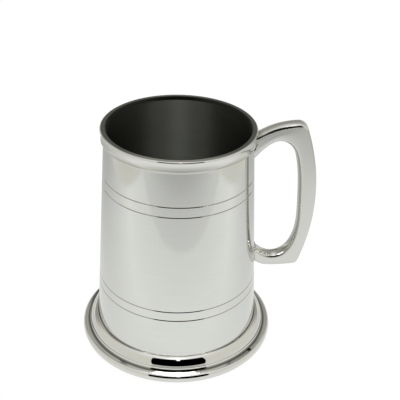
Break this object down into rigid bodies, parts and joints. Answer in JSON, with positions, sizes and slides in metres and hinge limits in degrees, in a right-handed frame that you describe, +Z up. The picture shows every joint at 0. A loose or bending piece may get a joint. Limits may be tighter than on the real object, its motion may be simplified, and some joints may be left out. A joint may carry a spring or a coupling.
{
  "type": "pewter tankard",
  "caption": "Tapered pewter drinking tankard with a rolled lip, engraved line pairs, a moulded foot and a square-shouldered loop handle.",
  "frame": {"origin": "centre of the foot, on the plane the tankard stands on", "axes": "+Z up along the axis of the barrel, +X towards the handle"},
  "size_m": [0.126, 0.106, 0.1255],
  "materials": {
    "polished_pewter": "mirror-polished pewter",
    "cast_pewter": "cast pewter, buffed to a soft polish",
    "satin_pewter": "satin pewter, finely turned",
    "solder": "tin solder, polished flush where it shows"
  },
  "bodies": {
    "root": {"barrel": "polished_pewter", "rim_moulding": "polished_pewter", "foot_moulding": "polished_pewter", "handle": "cast_pewter", "floor_plate": "satin_pewter", "floor_solder": "solder", "foot_solder": "solder", "rim_solder": "solder", "upper_handle_solder": "solder", "lower_handle_solder": "solder"}
  },
  "joints": []
}
